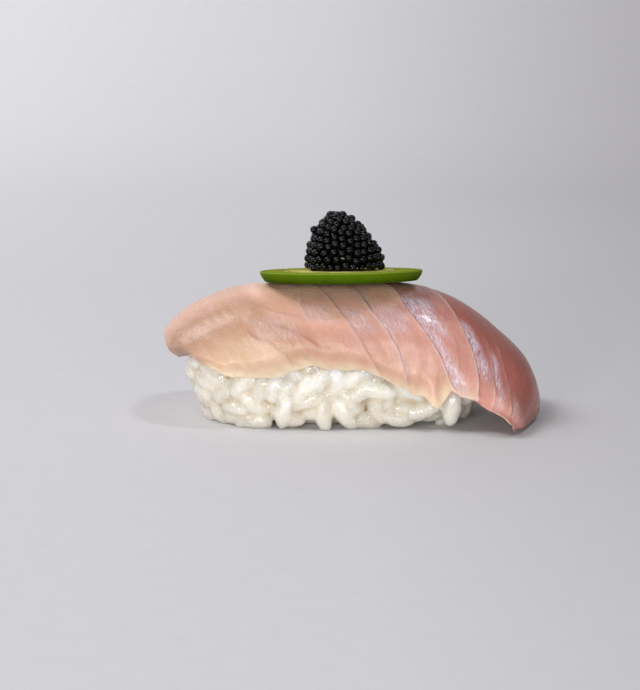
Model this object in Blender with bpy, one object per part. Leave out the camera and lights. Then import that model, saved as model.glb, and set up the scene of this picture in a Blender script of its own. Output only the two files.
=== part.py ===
"""Yellowtail nigiri: pressed rice, a draped slice of fish, a slice of green chili, a mound of roe."""

import math
import random

import bmesh
import bpy
import numpy as np
from mathutils import Matrix, Vector, noise
from mathutils.bvhtree import BVHTree

MM = 0.001

# Slice of fish. (x, z) of the line along its top, left to right, in millimetres.
CREST = [(-34.6, 15.6), (-32.4, 18.2), (-28.0, 21.2), (-21.0, 23.7), (-12.0, 24.4), (0.0, 24.45),
         (11.0, 24.1), (19.6, 21.3), (27.6, 15.4), (32.8, 9.8), (35.0, 3.6), (34.6, -3.0)]
CREST_STEPS = 24
CROWN_RADIUS = 22.0
CROWN_ANGLE = math.radians(22.0)
SHOULDER_RADIUS = 10.0
SIDE_ANGLE = math.radians(80.0)
GRAIN_LEAN = 0.47
SLICE_START = -4.8
SLICE_END = 85.2
END_RISE = 0.0082
SLICE_THICKNESS = 4.4
SIDE_THINNING = 0.62
TAIL_THINNING = 0.45
EDGE_ROUND = 0.55
START_ROUND = 1.9
END_ROUND = 0.7
SEAM_DEPTH = 0.35

# Lower edge of the slice, towards the front: (distance along, distance down from the top line).
NEAR_EDGE = [(-6.0, 14.0), (-4.0, 19.0), (0.0, 22.5), (5.0, 23.6), (12.0, 24.1), (16.2, 22.9),
             (20.0, 22.0), (23.0, 23.0), (27.0, 22.7), (30.0, 23.6), (34.0, 25.5), (42.0, 26.3),
             (48.0, 25.5), (52.2, 27.2), (54.2, 21.8), (56.3, 22.0), (60.0, 20.6), (63.4, 21.2),
             (67.0, 21.8), (71.0, 22.0), (74.5, 20.6), (76.6, 18.6)]
FAR_EDGE = [(8.0, 17.5), (14.0, 21.0), (25.0, 23.2), (38.0, 22.6), (50.0, 24.2), (60.0, 22.8),
            (70.0, 18.6), (78.0, 15.2), (86.0, 13.4)]

# Where each seam between two flakes lies along the slice, at four distances down its near side.
SEAM_STATIONS = [4.0, 11.0, 16.0, 21.0]
SEAMS = [(25.5, 23.2, 23.5, 23.8), (29.3, 29.4, 30.2, 30.6), (35.8, 35.1, 36.0, 37.4),
         (43.1, 42.2, 45.6, 53.6), (52.4, 54.0, 58.2, 60.3), (59.4, 60.4, 62.6, 64.2),
         (62.4, 63.5, 67.9, 70.0)]
COLUMN_PITCH = 3.4
ROW_PITCH = 3.1
EDGE_STEPS = [0.0, 0.5, 1.6, 4.0]
START_STEPS = [0.0, 0.8, 2.2, 4.4]

# Block of rice: height, middle, half length and half width of its outer form.
RICE_FORM = [(0.0, -3.0, 23.9, 13.5), (3.0, -3.0, 25.2, 14.0), (6.5, -3.0, 26.6, 14.3),
             (10.0, -3.1, 27.2, 14.1), (14.0, -3.2, 26.2, 13.4), (18.0, -3.6, 22.0, 11.0),
             (21.0, -4.0, 14.0, 6.5)]
RICE_SQUARENESS = 2.7
RICE_LUMPS = 0.7
RICE_SIDES = 24
RICE_CORE_INSET = 0.9
RICE_SINK = 0.2
RICE_GAP = 0.45
RICE_COUNT = 150
RICE_HALF = (3.3, 1.6, 1.5)
RICE_SPREAD = 1.5
RICE_TRIES = 120
RICE_SEED = 11

# Slice of green chili: top and bottom radius, thickness, tilt, and where its underside's middle is.
CHILI_TOP_RADIUS = 14.9
CHILI_BOTTOM_RADIUS = 14.15
CHILI_THICKNESS = 1.9
CHILI_MIDDLE = (-2.0, 0.0, 24.85)
CHILI_TILT = math.radians(-6.5)
CHILI_ROLL = math.radians(-0.6)
CHILI_FLESH = 10.6
CHILI_PITH = 8.9
CHILI_HOLLOW = 0.75
CHILI_RIBS = 4
CHILI_SEGMENTS = 36
CHILI_SEEDS = [(-9.8, 4.6, 20.0), (8.9, -4.4, 75.0), (9.6, 3.7, -30.0), (-10.2, -2.6, 110.0)]

# Mound of roe: (height, radius) of its outer form above the chili, and its eggs.
ROE_MIDDLE = 0.9
ROE_FORM = [(0.0, 6.9), (2.0, 6.8), (4.0, 6.2), (6.0, 5.1), (8.0, 3.7), (9.5, 2.2), (10.2, 0.5)]
ROE_LEAN = -0.12
ROE_GAP = 0.3
ROE_CORE_INSET = 0.3
ROE_SIDES = 12
ROE_SINK = 0.12
ROE_EGG = 0.74
ROE_PITCH = 1.6
ROE_ROW_PITCH = 1.5
ROE_JITTER = 0.03
ROE_SEED = 5

COLOURS = {
    "rice_block": (0.80, 0.78, 0.70, 1.0),
    "yellowtail_slice": (0.66, 0.40, 0.30, 1.0),
    "chili_slice": (0.24, 0.36, 0.04, 1.0),
    "roe_mound": (0.012, 0.012, 0.016, 1.0),
}
ROUGHNESS = {"rice_block": 0.4, "yellowtail_slice": 0.3, "chili_slice": 0.35, "roe_mound": 0.12}


def smooth(t):
    t = min(max(t, 0.0), 1.0)
    return t * t * (3.0 - 2.0 * t)


def along(knots, t):
    return float(np.interp(t, [k[0] for k in knots], [k[1] for k in knots]))


def glide(places, values, t):
    """Smooth curve through a few values, level before the first and straight after the last."""
    if t <= places[0]:
        return values[0]
    slopes = [(v1 - v0) / (p1 - p0) for p0, p1, v0, v1 in zip(places, places[1:], values, values[1:])]
    if t >= places[-1]:
        return values[-1] + (t - places[-1]) * slopes[-1]
    k = max(i for i, place in enumerate(places) if place <= t)
    joins = [0.0] + [0.5 * (s0 + s1) for s0, s1 in zip(slopes, slopes[1:])] + [slopes[-1]]
    step = places[k + 1] - places[k]
    u = (t - places[k]) / step
    bend = u * (1.0 - u) * ((joins[k] - slopes[k]) * (1.0 - u) - (joins[k + 1] - slopes[k]) * u)
    return values[k] * (1.0 - u) + values[k + 1] * u + step * bend


def trace_crest():
    """Curve through the crest's points, as arrays of distance along it, x and z."""
    pts = [Vector(p) for p in CREST]
    pts = [2.0 * pts[0] - pts[1]] + pts + [2.0 * pts[-1] - pts[-2]]
    line = []
    for p0, p1, p2, p3 in zip(pts, pts[1:], pts[2:], pts[3:]):
        for k in range(CREST_STEPS):
            t = k / CREST_STEPS
            curve = 2.0 * p1 + (p2 - p0) * t + (2.0 * p0 - 5.0 * p1 + 4.0 * p2 - p3) * t * t
            line.append(0.5 * (curve + (3.0 * p1 - p0 - 3.0 * p2 + p3) * t * t * t))
    line.append(pts[-2])
    steps = [0.0]
    for a, b in zip(line, line[1:]):
        steps.append(steps[-1] + (b - a).length)
    return np.array(steps), np.array([p.x for p in line]), np.array([p.y for p in line])


CREST_S, CREST_X, CREST_Z = trace_crest()
CREST_LENGTH = float(CREST_S[-1])


def crest_frame(e):
    """Point and direction of the crest at distance e, carried on straight past its ends."""
    inside = min(max(e, 0.0), CREST_LENGTH)
    x = float(np.interp(inside, CREST_S, CREST_X))
    z = float(np.interp(inside, CREST_S, CREST_Z))
    low = max(inside - 0.6, 0.0)
    high = min(inside + 0.6, CREST_LENGTH)
    tx = float(np.interp(high, CREST_S, CREST_X) - np.interp(low, CREST_S, CREST_X))
    tz = float(np.interp(high, CREST_S, CREST_Z) - np.interp(low, CREST_S, CREST_Z))
    length = math.hypot(tx, tz)
    tx /= length
    tz /= length
    return x + (e - inside) * tx, z + (e - inside) * tz, tx, tz


def fall_angle(e):
    """How steeply the sides hang at distance e: less at the start, almost flat at the tail."""
    u = e / CREST_LENGTH
    start = 0.66 + 0.34 * smooth(u / 0.28)
    tail = 1.0 - 0.76 * smooth((u - 0.60) / 0.38)
    return max(SIDE_ANGLE * start * tail, CROWN_ANGLE + 0.001)


def slice_point(a, b, depth):
    """Point of the slice: a along it, b across it (front negative), depth below its top face."""
    e = a - GRAIN_LEAN * b
    x, z, tx, tz = crest_frame(e)
    angle = fall_angle(e)
    reach = abs(b)
    crown_end = CROWN_RADIUS * CROWN_ANGLE
    shoulder_end = crown_end + SHOULDER_RADIUS * (angle - CROWN_ANGLE)
    turn = min(reach, crown_end) / CROWN_RADIUS
    out = CROWN_RADIUS * math.sin(turn)
    drop = CROWN_RADIUS * (1.0 - math.cos(turn))
    if reach > crown_end:
        turn = CROWN_ANGLE + (min(reach, shoulder_end) - crown_end) / SHOULDER_RADIUS
        out += SHOULDER_RADIUS * (math.sin(turn) - math.sin(CROWN_ANGLE))
        drop += SHOULDER_RADIUS * (math.cos(CROWN_ANGLE) - math.cos(turn))
    rest = max(reach - shoulder_end, 0.0)
    out += rest * math.cos(angle) - depth * math.sin(turn)
    drop += rest * math.sin(angle) + depth * math.cos(turn)
    return Vector((x + drop * tz, math.copysign(out, b), z - drop * tx))


def slice_start(b):
    return max(SLICE_START, GRAIN_LEAN * b - 0.8)


def slice_end(b):
    """The tail's cut end runs slantwise, so that its front corner hangs lowest."""
    return SLICE_END + GRAIN_LEAN * b - END_RISE * max(b + 16.0, 0.0) ** 2


def slice_thickness(a, b):
    e = a - GRAIN_LEAN * b
    side = 1.0 - SIDE_THINNING * smooth((abs(b) - 9.0) / 16.0)
    tail = 1.0 - TAIL_THINNING * smooth((e / CREST_LENGTH - 0.72) / 0.24)
    return SLICE_THICKNESS * side * tail


def rounding(distance, radius):
    """How far a rounded edge falls away at a distance in from it."""
    inward = min(max(distance, 0.0), radius)
    return radius - math.sqrt(radius * radius - (radius - inward) ** 2)


def slice_columns():
    """Columns of the slice's grid: guide line, part of the way to the next one, step from it."""
    crown = [SLICE_START] + [seam[0] for seam in SEAMS] + [SLICE_END]
    columns = [(0, 0.0, step) for step in START_STEPS]
    for k, (left, right) in enumerate(zip(crown, crown[1:])):
        count = max(1, round((right - left) / COLUMN_PITCH))
        first = 2 if k == 0 else 0
        last = count - 1 if k == len(SEAMS) else count
        columns += [(k, j / count, 0.0) for j in range(first, last)]
    return columns + [(len(SEAMS) + 1, 0.0, -step) for step in reversed(EDGE_STEPS)]


def guide_at(k, b):
    """Place of one guide line (an end of the slice, or a seam) at b across."""
    if k == 0:
        return slice_start(b)
    if k == len(SEAMS) + 1:
        return slice_end(b)
    return glide(SEAM_STATIONS, SEAMS[k - 1], -b)


def column_at(column, b):
    k, fraction, step = column
    if fraction == 0.0:
        return guide_at(k, b) + step
    return guide_at(k, b) * (1.0 - fraction) + guide_at(k + 1, b) * fraction


def edge_across(column, side):
    """Where a column meets the slice's near (-1) or far (+1) edge, found by halving."""
    edge = NEAR_EDGE if side < 0 else FAR_EDGE
    low = 8.0
    high = 32.0
    for _ in range(24):
        reach = 0.5 * (low + high)
        if along(edge, column_at(column, side * reach)) > reach:
            low = reach
        else:
            high = reach
    return side * low


def slice_sheets(row_pitch, lift, gap, relief):
    """Top and bottom grids of points of the slice, or of the space kept free around it."""
    columns = slice_columns()
    edge_steps = EDGE_STEPS if relief else EDGE_STEPS[::3]
    inner = max(2, round(36.0 / row_pitch))
    top = []
    bottom = []
    for n, column in enumerate(columns):
        near = edge_across(column, -1) - gap
        far = edge_across(column, 1) + gap
        rows = [near + step for step in edge_steps]
        for j in range(1, inner):
            rows.append(near + 4.0 + (far - near - 8.0) * j / inner)
        rows += [far - step for step in reversed(edge_steps)]
        top_line = []
        bottom_line = []
        for b in rows:
            a = column_at(column, b)
            side = min(b - near, far - b)
            round_start = rounding(a - slice_start(b), START_ROUND)
            round_end = rounding(slice_end(b) - a, END_ROUND)
            fall = rounding(side, EDGE_ROUND) + round_start + round_end
            if n == 0:
                a -= gap
            elif n == len(columns) - 1:
                a += gap
            elif relief and column[1] == 0.0 and column[2] == 0.0:
                slant = column_at(column, b + 0.5) - column_at(column, b - 0.5)
                fall += SEAM_DEPTH * smooth(side / 1.5) / math.hypot(1.0, slant)
            thick = slice_thickness(a, b)
            top_line.append(slice_point(a, b, min(fall, thick * 0.45) - lift))
            bottom_line.append(slice_point(a, b, thick - 0.6 * round_start + gap))
        top.append(top_line)
        bottom.append(bottom_line)
    return top, bottom


def loft_solid(name, top, bottom):
    """Closed solid between two grids of points of the same size."""
    mesh = bmesh.new()
    grids = []
    for grid in (top, bottom):
        grids.append([[mesh.verts.new(point * MM) for point in line] for line in grid])
    columns = len(top)
    rows = len(top[0])
    upper, lower = grids
    for i in range(columns - 1):
        for j in range(rows - 1):
            mesh.faces.new((upper[i][j], upper[i + 1][j], upper[i + 1][j + 1], upper[i][j + 1]))
            mesh.faces.new((lower[i][j], lower[i][j + 1], lower[i + 1][j + 1], lower[i + 1][j]))
    rim = [(i, 0) for i in range(columns)]
    rim += [(columns - 1, j) for j in range(1, rows)]
    rim += [(i, rows - 1) for i in range(columns - 2, -1, -1)]
    rim += [(0, j) for j in range(rows - 2, 0, -1)]
    for (i, j), (k, m) in zip(rim, rim[1:] + rim[:1]):
        mesh.faces.new((upper[i][j], lower[i][j], lower[k][m], upper[k][m]))
    bmesh.ops.triangulate(mesh, faces=mesh.faces, quad_method="SHORT_EDGE")
    return finish_mesh(mesh, name)


def loft_rings(name, rings):
    """Closed solid through a stack of rings of points, capped flat at both ends."""
    mesh = bmesh.new()
    loops = [[mesh.verts.new(point * MM) for point in ring] for ring in rings]
    count = len(loops[0])
    for lower, upper in zip(loops, loops[1:]):
        for j in range(count):
            k = (j + 1) % count
            mesh.faces.new((lower[j], lower[k], upper[k], upper[j]))
    mesh.faces.new(list(reversed(loops[0])))
    mesh.faces.new(loops[-1])
    return finish_mesh(mesh, name)


def finish_mesh(mesh, name):
    bmesh.ops.recalc_face_normals(mesh, faces=mesh.faces)
    data = bpy.data.meshes.new(name)
    mesh.to_mesh(data)
    mesh.free()
    return bpy.data.objects.new(name, data)


def surface_of(thing):
    """The piece's surface, for finding the nearest place on it."""
    points = [vert.co.copy() for vert in thing.data.vertices]
    return BVHTree.FromPolygons(points, [list(face.vertices) for face in thing.data.polygons])


def settle(surface, point, sink):
    """Moves a lump's middle to lie just under a core's surface, with the way out from it."""
    place, normal, _, _ = surface.find_nearest(point * MM)
    return place / MM - normal * sink, normal


def link(thing, collection):
    collection.objects.link(thing)
    return thing


def hide_cutter(thing):
    thing.hide_render = True
    thing.display_type = "WIRE"
    return thing


def apply_modifiers(thing):
    bpy.context.view_layer.update()
    graph = bpy.context.evaluated_depsgraph_get()
    data = bpy.data.meshes.new_from_object(thing.evaluated_get(graph))
    thing.modifiers.clear()
    thing.data = data


def remove_all(things):
    for thing in list(things):
        bpy.data.objects.remove(thing, do_unlink=True)


def keep_largest(thing):
    """Drops the loose scraps that cutting leaves, and any hollow sealed inside."""
    mesh = bmesh.new()
    mesh.from_mesh(thing.data)
    islands = []
    seen = set()
    for start in mesh.faces:
        if start in seen:
            continue
        island = []
        queue = [start]
        seen.add(start)
        while queue:
            face = queue.pop()
            island.append(face)
            for edge in face.edges:
                for other in edge.link_faces:
                    if other not in seen:
                        seen.add(other)
                        queue.append(other)
        islands.append(island)
    islands.sort(key=len)
    loose = [face for island in islands[:-1] for face in island]
    bmesh.ops.delete(mesh, geom=loose, context="FACES")
    mesh.to_mesh(thing.data)
    mesh.free()


def fuse_heap(core, lumps, tools):
    """Joins the lumps to their core in one union, then cuts away what the neighbours need."""
    heap = bpy.data.collections.new(core.name + "_lumps")
    bpy.context.scene.collection.children.link(heap)
    for lump in lumps:
        link(lump, heap)
    join = core.modifiers.new("join", "BOOLEAN")
    join.operation = "UNION"
    join.solver = "MANIFOLD"
    join.operand_type = "COLLECTION"
    join.collection = heap
    apply_modifiers(core)
    remove_all(heap.objects)
    bpy.data.collections.remove(heap)
    for tool in tools:
        cut = core.modifiers.new("cut", "BOOLEAN")
        cut.operation = "DIFFERENCE"
        cut.solver = "MANIFOLD"
        cut.object = tool
    apply_modifiers(core)
    keep_largest(core)


def rice_form(angle, z, inset):
    """Point on the rice's outer form, lumpy as pressed by hand, moved in by the inset."""
    heights = [station[0] for station in RICE_FORM]
    middle, half_x, half_y = (
        float(np.interp(z, heights, [station[k] for station in RICE_FORM])) for k in (1, 2, 3))
    power = 2.0 / RICE_SQUARENESS
    cos = math.cos(angle)
    sin = math.sin(angle)
    x = math.copysign(abs(cos) ** power, cos)
    y = math.copysign(abs(sin) ** power, sin)
    place = Vector((middle + (half_x - inset) * x, (half_y - inset) * y, z))
    lump = RICE_LUMPS * noise.noise(place / 6.5)
    return place + lump * Vector((x, y, 0.0))


def make_rice_grain(place, direction, normal, size):
    """One cooked grain, lying along a direction on the block's side."""
    mesh = bmesh.new()
    side = normal.cross(direction).normalized()
    turn = Matrix((direction, side, normal)).transposed().to_4x4()
    scale = Matrix.Diagonal((RICE_HALF[0] * size, RICE_HALF[1] * size, RICE_HALF[2], 1.0))
    matrix = Matrix.Scale(MM, 4) @ Matrix.Translation(place) @ turn @ scale
    bmesh.ops.create_uvsphere(mesh, u_segments=8, v_segments=4, radius=1.0, matrix=matrix)
    return finish_mesh(mesh, "grain")


def place_rice_grains(surface, cover):
    """Spreads grains evenly over the sides: each takes the emptiest of many drawn places."""
    draw = random.Random(RICE_SEED)
    taken = np.zeros((0, 3))
    grains = []
    for _ in range(RICE_COUNT):
        best = None
        for _ in range(RICE_TRIES):
            angle = draw.uniform(-math.pi, math.pi)
            z = draw.uniform(0.0, 17.5)
            spin = draw.uniform(0.0, math.pi)
            size = draw.uniform(0.88, 1.1)
            place, normal = settle(surface, rice_form(angle, z, 0.0), RICE_SINK)
            level = Vector((-normal.y, normal.x, 0.0)).normalized()
            direction = (Matrix.Rotation(spin, 3, normal) @ level).normalized()
            ends = [place - direction * 2.1, place, place + direction * 2.1]
            if min(end.z for end in ends) < -0.4:
                continue
            if all(cover.ray_cast(end * MM, normal, 4.0 * MM)[0] for end in ends):
                continue
            gap = 9.0
            if len(taken):
                gap = min(np.linalg.norm(taken - np.array(end), axis=1).min() for end in ends)
            if best is None or gap > best[0]:
                best = (gap, place, direction, normal, size, ends)
        if best is None or best[0] < RICE_SPREAD:
            continue
        taken = np.vstack([taken, [tuple(end) for end in best[5]]])
        grains.append(make_rice_grain(*best[1:5]))
    return grains


def make_rice():
    top, bottom = slice_sheets(4.5, 4.0, RICE_GAP, False)
    space = hide_cutter(link(loft_solid("slice_space", top, bottom), cutters))
    angles = [2.0 * math.pi * k / RICE_SIDES for k in range(RICE_SIDES)]
    rings = []
    for z in (-1.2, 1.6, 5.0, 8.6, 12.4, 16.5, 20.0, 22.5):
        rings.append([rice_form(angle, z, RICE_CORE_INSET) for angle in angles])
    rice = link(loft_rings("rice_block", rings), parts)
    mesh = bmesh.new()
    floor_matrix = Matrix.Translation((0.0, 0.0, -0.01)) @ Matrix.Diagonal((0.1, 0.06, 0.02, 1.0))
    bmesh.ops.create_cube(mesh, size=1.0, matrix=floor_matrix)
    floor = hide_cutter(link(finish_mesh(mesh, "floor_space"), cutters))
    grains = place_rice_grains(surface_of(rice), surface_of(space))
    fuse_heap(rice, grains, [space, floor])
    return rice


def make_slice():
    top, bottom = slice_sheets(ROW_PITCH, 0.0, 0.0, True)
    return link(loft_solid("yellowtail_slice", top, bottom), parts)


def chili_matrix():
    tilt = Matrix.Rotation(CHILI_TILT, 4, "X") @ Matrix.Rotation(CHILI_ROLL, 4, "Y")
    return Matrix.Translation(CHILI_MIDDLE) @ tilt


def chili_rim(angle):
    """Slight lobes of the pod's outline."""
    return 1.0 + 0.010 * math.cos(3.0 * angle + 0.6) + 0.006 * math.cos(5.0 * angle)


def chili_top(radius, angle):
    """Height of the cut face: flat flesh, shallow seed chambers between ribs, flat pith."""
    chamber = smooth((CHILI_FLESH - radius) / 1.0) * smooth((radius - CHILI_PITH + 1.6) / 0.9)
    rib = abs(math.cos(0.5 * CHILI_RIBS * (angle - 0.35)))
    return CHILI_THICKNESS - CHILI_HOLLOW * chamber * smooth((rib - 0.25) / 0.3)


def make_chili_slice():
    place = chili_matrix()
    angles = [2.0 * math.pi * k / CHILI_SEGMENTS for k in range(CHILI_SEGMENTS)]
    profile = [(CHILI_BOTTOM_RADIUS * 0.55, 0.0), (CHILI_BOTTOM_RADIUS - 0.3, 0.0)]
    profile += [(CHILI_BOTTOM_RADIUS, 0.25), (CHILI_TOP_RADIUS, CHILI_THICKNESS - 0.25)]
    rings = [[Vector((r * chili_rim(t) * math.cos(t), r * chili_rim(t) * math.sin(t), z))
              for t in angles] for r, z in profile]
    for r in (CHILI_TOP_RADIUS - 0.25, CHILI_FLESH + 0.2, CHILI_FLESH - 1.0, CHILI_PITH - 0.7,
              CHILI_PITH - 1.8):
        rings.append([Vector((r * chili_rim(t) * math.cos(t), r * chili_rim(t) * math.sin(t),
                              chili_top(r, t))) for t in angles])
    rings = [[place @ point for point in ring] for ring in rings]
    chili = link(loft_rings("chili_slice", rings), parts)
    seeds = []
    for x, y, turn in CHILI_SEEDS:
        mesh = bmesh.new()
        matrix = Matrix.Scale(MM, 4) @ place @ Matrix.Translation((x, y, CHILI_THICKNESS - 0.35))
        matrix = matrix @ Matrix.Rotation(math.radians(turn), 4, "Z")
        matrix = matrix @ Matrix.Diagonal((1.35, 1.05, 0.55, 1.0))
        bmesh.ops.create_uvsphere(mesh, u_segments=8, v_segments=4, radius=1.0, matrix=matrix)
        seeds.append(finish_mesh(mesh, "seed"))
    fuse_heap(chili, seeds, [])
    return chili


def roe_form(angle, height, inset):
    """Point on the mound's outer form above the chili's top face."""
    radius = max(along(ROE_FORM, height) - inset, 0.05)
    radius *= 1.0 + 0.05 * math.cos(2.0 * angle + 0.8) + 0.03 * math.cos(3.0 * angle)
    x = ROE_MIDDLE + ROE_LEAN * height + radius * math.cos(angle)
    return Vector((x, radius * math.sin(angle), height))


def make_roe():
    place = chili_matrix() @ Matrix.Translation((0.0, 0.0, CHILI_THICKNESS + ROE_GAP))
    top = ROE_FORM[-1][0]
    angles = [2.0 * math.pi * k / ROE_SIDES for k in range(ROE_SIDES)]
    rings = []
    for height in (0.0, 2.6, 5.2, 7.6, top - ROE_CORE_INSET):
        rings.append([place @ roe_form(angle, height, ROE_CORE_INSET) for angle in angles])
    roe = link(loft_rings("roe_mound", rings), parts)
    surface = surface_of(roe)
    draw = random.Random(ROE_SEED)
    eggs = []
    height = ROE_EGG
    row = 0
    while height < top:
        radius = along(ROE_FORM, height)
        count = max(1, int(2.0 * math.pi * (radius - 0.2) / ROE_PITCH))
        for k in range(count):
            angle = 2.0 * math.pi * (k + 0.5 * (row % 2)) / count + 0.7 * row
            point = roe_form(angle, height, 0.0)
            point += Vector([draw.uniform(-ROE_JITTER, ROE_JITTER) for _ in range(3)])
            point, normal = settle(surface, place @ point, ROE_SINK)
            facing = normal.to_track_quat("Z", "Y").to_matrix().to_4x4()
            facing = facing @ Matrix.Rotation(draw.uniform(0.0, math.pi), 4, "Z")
            matrix = Matrix.Scale(MM, 4) @ Matrix.Translation(point) @ facing
            mesh = bmesh.new()
            bmesh.ops.create_uvsphere(mesh, u_segments=5, v_segments=4, radius=ROE_EGG,
                                      matrix=matrix)
            eggs.append(finish_mesh(mesh, "egg"))
        slope = along(ROE_FORM, height + 0.5) - along(ROE_FORM, height - 0.5)
        height += ROE_ROW_PITCH / math.hypot(1.0, slope)
        row += 1
    fuse_heap(roe, eggs, [])
    return roe


def give_material(thing):
    material = bpy.data.materials.new(thing.name)
    material.use_nodes = True
    shader = material.node_tree.nodes["Principled BSDF"]
    shader.inputs["Base Color"].default_value = COLOURS[thing.name]
    shader.inputs["Roughness"].default_value = ROUGHNESS[thing.name]
    thing.data.materials.clear()
    thing.data.materials.append(material)


def centre_all(things):
    """Moves every piece by the same amount, so that the whole stands over the origin."""
    corners = [vert.co for thing in things for vert in thing.data.vertices]
    middle_x = 0.5 * (min(c.x for c in corners) + max(c.x for c in corners))
    middle_y = 0.5 * (min(c.y for c in corners) + max(c.y for c in corners))
    for thing in things:
        thing.data.transform(Matrix.Translation((-middle_x, -middle_y, 0.0)))
    return -middle_x / MM, -middle_y / MM


remove_all(bpy.data.objects)
parts = bpy.data.collections.new("yellowtail_nigiri")
bpy.context.scene.collection.children.link(parts)
cutters = bpy.data.collections.new("cutters")
bpy.context.scene.collection.children.link(cutters)

pieces = [make_rice(), make_slice(), make_chili_slice(), make_roe()]
SHIFT = centre_all(pieces)
for piece in pieces:
    give_material(piece)
    print(piece.name, sum(len(face.vertices) - 2 for face in piece.data.polygons), "triangles")
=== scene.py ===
import math
import random

import bmesh
import bpy
import numpy as np
from mathutils import Matrix, Vector, kdtree, noise


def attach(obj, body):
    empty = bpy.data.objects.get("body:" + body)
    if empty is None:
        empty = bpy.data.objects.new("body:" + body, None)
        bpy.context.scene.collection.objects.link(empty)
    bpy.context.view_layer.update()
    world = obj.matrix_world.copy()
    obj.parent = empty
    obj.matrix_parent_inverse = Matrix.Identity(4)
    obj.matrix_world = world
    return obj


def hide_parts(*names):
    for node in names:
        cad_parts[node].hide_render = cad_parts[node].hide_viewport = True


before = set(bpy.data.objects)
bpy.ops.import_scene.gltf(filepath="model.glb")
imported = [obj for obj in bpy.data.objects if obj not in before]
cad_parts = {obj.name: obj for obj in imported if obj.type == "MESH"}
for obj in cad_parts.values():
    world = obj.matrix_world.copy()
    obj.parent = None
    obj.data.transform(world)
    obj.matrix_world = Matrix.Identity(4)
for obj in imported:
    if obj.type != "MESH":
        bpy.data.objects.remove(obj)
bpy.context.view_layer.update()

# ---------------------------------------------------------------------------------------------
# Slice of yellowtail. One cut across the loin, so it is a row of flakes that part along slanting
# seams, each lip lying a little over the next flake. It is flesh, thick in the middle and thin
# at its sides and tail, laid along a line over the rice and pressed down by hand.
# ---------------------------------------------------------------------------------------------
MM = 0.001
# Sizes are in millimetres from a point under the slice's middle; this puts them in the frame.
SHIFT_X = -0.36216713
SHIFT_Y = 2.07867473
IN_FRAME = Matrix.Translation((SHIFT_X * MM, SHIFT_Y * MM, 0.0)) @ Matrix.Scale(MM, 4)

CREST = [(-34.6, 15.6), (-32.4, 18.2), (-28.0, 21.2), (-21.0, 23.7), (-12.0, 24.4), (0.0, 24.45),
         (11.0, 24.1), (19.6, 21.3), (27.6, 15.4), (32.8, 9.8), (35.0, 3.6), (34.6, -3.0)]
CROWN_RADIUS = 22.0
CROWN_ANGLE = math.radians(22.0)
SHOULDER_RADIUS = 10.0
SIDE_ANGLE = math.radians(80.0)
GRAIN_LEAN = 0.47
SLICE_START = -4.8
SLICE_END = 85.2
END_RISE = 0.0082
SLICE_THICKNESS = 4.4
EDGE_ROUND = 0.35
EDGE_WEDGE = 1.1
START_ROUND = 1.9
END_ROUND = 0.7
NEAR_EDGE = [(-6.0, 14.0), (-4.0, 19.0), (0.0, 22.5), (5.0, 23.6), (12.0, 24.1), (16.2, 22.9),
             (20.0, 22.0), (23.0, 23.0), (27.0, 22.7), (30.0, 23.6), (34.0, 25.5), (42.0, 26.3),
             (48.0, 25.6), (51.8, 26.5), (54.4, 21.9), (56.3, 21.8), (60.0, 20.6), (63.4, 21.2),
             (67.0, 21.8), (71.0, 22.0), (74.5, 20.6), (76.6, 18.6)]
FAR_EDGE = [(8.0, 17.5), (14.0, 21.0), (25.0, 23.2), (38.0, 22.6), (50.0, 24.2), (60.0, 22.8),
            (70.0, 18.6), (78.0, 15.2), (86.0, 13.4)]

# Seams that part whole flakes: distance along at four places down the side, then the height of
# the step and how far down the side it opens.
SEAM_STATIONS = [4.0, 11.0, 16.0, 21.0]
SEAMS = [(25.5, 23.2, 23.5, 23.8), (29.3, 29.4, 30.2, 30.6), (35.8, 35.1, 36.0, 37.4),
         (43.1, 42.2, 45.6, 53.6), (52.4, 54.0, 58.2, 60.3), (59.4, 60.4, 62.6, 64.2),
         (62.4, 63.5, 67.9, 70.0)]
SEAM_STEPS = [0.45, 0.8, 1.0, 1.5, 1.25, 0.6, 0.5]
SEAM_OPENS = [-1.0, -1.0, -1.0, -1.0, -1.0, 10.0, 9.0]
SEAM_CLOSES = [13.5, 99.0, 99.0, 99.0, 99.0, 99.0, 99.0]
# The flakes past these two seams are redder, and the second of them is the tail.
THIRD_SEAM = 3
TAIL_SEAM = 4
# A flake's lip: width of its drop, how deep it goes for a seam's height, how far the next flake
# stays low behind it, and how much the lip itself swells up.
LIP_WIDTH = 0.42
LIP_DROP = 0.26
LIP_REACH = 2.4
LIP_SWELL = 0.06

# Spacing of the slice's mesh along it, and its rows across.
SLICE_PITCH = 0.33
SLICE_ROWS = 104
# Height of the flesh's broad swells, of its fibres, and of the ripples in its thin sides.
SWELL = 0.11
FIBRE = 0.04
RIPPLE = 0.18

# Short creases inside a flake: places down the side, distance along, height of the step, redness.
CREASES = [
    ([13.3, 16.3, 20.9], [51.3, 53.2, 55.5], 0.5, 0.0),
    ([8.9, 10.4, 12.2, 12.9, 13.6], [13.5, 15.0, 18.1, 20.0, 22.0], 0.45, 0.0),
    ([14.6, 16.0, 17.1, 18.8], [16.4, 19.3, 21.1, 22.8], 0.5, 1.0),
    ([16.6, 17.7, 19.2, 20.7, 23.4], [11.0, 13.6, 14.8, 15.7, 15.6], 0.7, 0.0),
    ([15.2, 16.2, 17.2], [10.9, 11.3, 12.2], 0.25, 1.6),
]

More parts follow.
